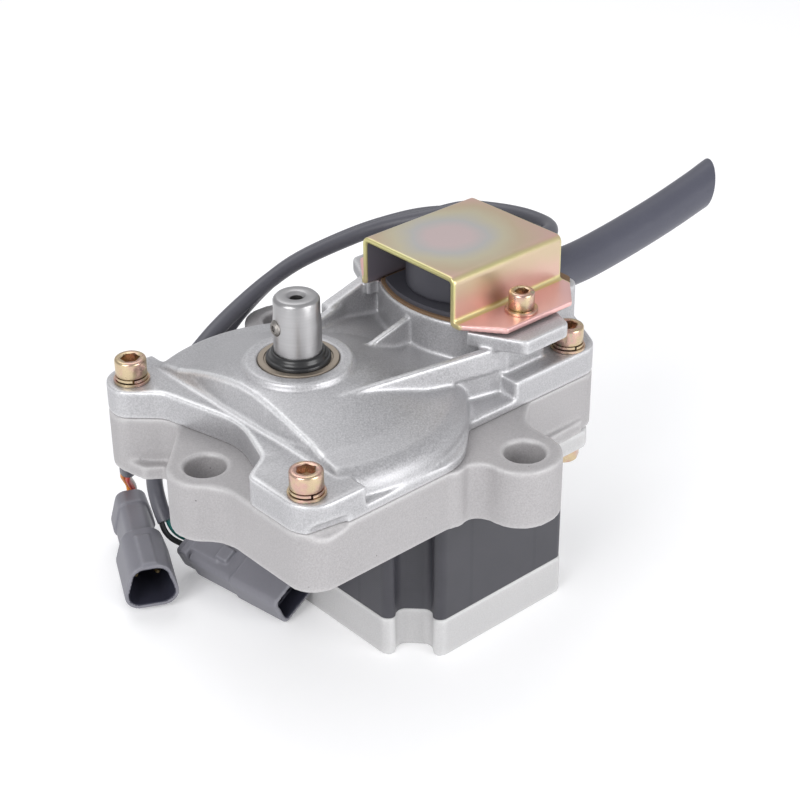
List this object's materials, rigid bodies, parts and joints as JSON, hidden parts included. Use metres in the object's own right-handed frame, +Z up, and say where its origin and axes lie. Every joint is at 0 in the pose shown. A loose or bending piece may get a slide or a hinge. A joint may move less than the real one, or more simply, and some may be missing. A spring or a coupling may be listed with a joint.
{
  "type": "engine governor actuator",
  "caption": "Engine governor actuator: stepper motor under a cast gear case with mounting ears, upright output shaft, angle sensor under a bent bracket, breather tube and two cables.",
  "frame": {"origin": "motor axis at the bottom face of the motor", "axes": "+Z up along the output shaft, +X from the shaft towards the breather tube, +Y towards the two cables"},
  "size_m": [0.1727, 0.1126, 0.0874],
  "materials": {
    "case_body": "matt cast",
    "case_cover": "blasted cast",
    "motor_cap": "matt cast",
    "stack": "satin black",
    "steel": "ground",
    "dark_steel": "oiled",
    "bearing": "polished",
    "gold_zinc": "yellow passivated zinc",
    "brass": "turned",
    "seal_metal": "tan",
    "rubber": "smooth",
    "gasket": "fibre",
    "black_plastic": "moulded",
    "nylon": "moulded",
    "grey_plastic": "moulded",
    "cable": "jacket",
    "sensor_wire": "coloured sleeve",
    "motor_wire": "coloured sleeve"
  },
  "bodies": {
    "housing": {"gear_case_body": "case_body", "gear_case_cover": "case_cover", "low_bearing": "bearing", "top_bearing": "bearing", "dust_seal": "rubber", "seal_ring": "seal_metal", "motor_rear_cap": "motor_cap", "motor_stator": "stack", "motor_front_cap": "motor_cap", "motor_bearings": "bearing", "motor_screws": "steel", "cover_screws": "gold_zinc", "long_screw_nuts": "gold_zinc", "cover_spring_washers": "gold_zinc", "cover_washers": "gold_zinc", "sensor_gasket": "gasket", "sensor_body": "black_plastic", "sensor_cap": "black_plastic", "sensor_bracket": "gold_zinc", "bracket_washers": "gold_zinc", "bracket_screws": "gold_zinc", "tube_nipple": "brass", "breather_tube": "rubber", "cable_grommet": "rubber", "sensor_cable": "cable", "motor_cable": "cable", "sensor_wires": "sensor_wire", "motor_wires": "motor_wire", "sensor_plug": "grey_plastic", "sensor_plug_pins": "brass", "motor_plug": "grey_plastic", "motor_plug_core": "black_plastic"},
    "output": {"output_shaft": "steel", "shaft_cross_pin": "dark_steel", "output_gear": "steel"},
    "rotor": {"motor_rotor": "steel", "motor_pinion": "brass"},
    "sensor_drive": {"sensor_spindle": "steel", "sensor_gear": "nylon"}
  },
  "joints": [
    {"name": "output_turn", "type": "hinge", "parent": "housing", "child": "output", "pos_m": [-0.0352, 0, 0.06], "axis": [0, 0, 1], "range_deg": [-45, 45]},
    {"name": "rotor_turn", "type": "hinge", "parent": "housing", "child": "rotor", "pos_m": [0, 0, 0.03], "axis": [0, 0, 1], "range_deg": [-203, 203]},
    {"name": "sensor_turn", "type": "hinge", "parent": "housing", "child": "sensor_drive", "pos_m": [0.0128, 0, 0.06], "axis": [0, 0, 1], "range_deg": [-68, 68]}
  ],
  "couplings": [
    {"joint": "rotor_turn", "follows": "output_turn", "ratio": -4.5},
    {"joint": "sensor_turn", "follows": "output_turn", "ratio": -1.5}
  ]
}
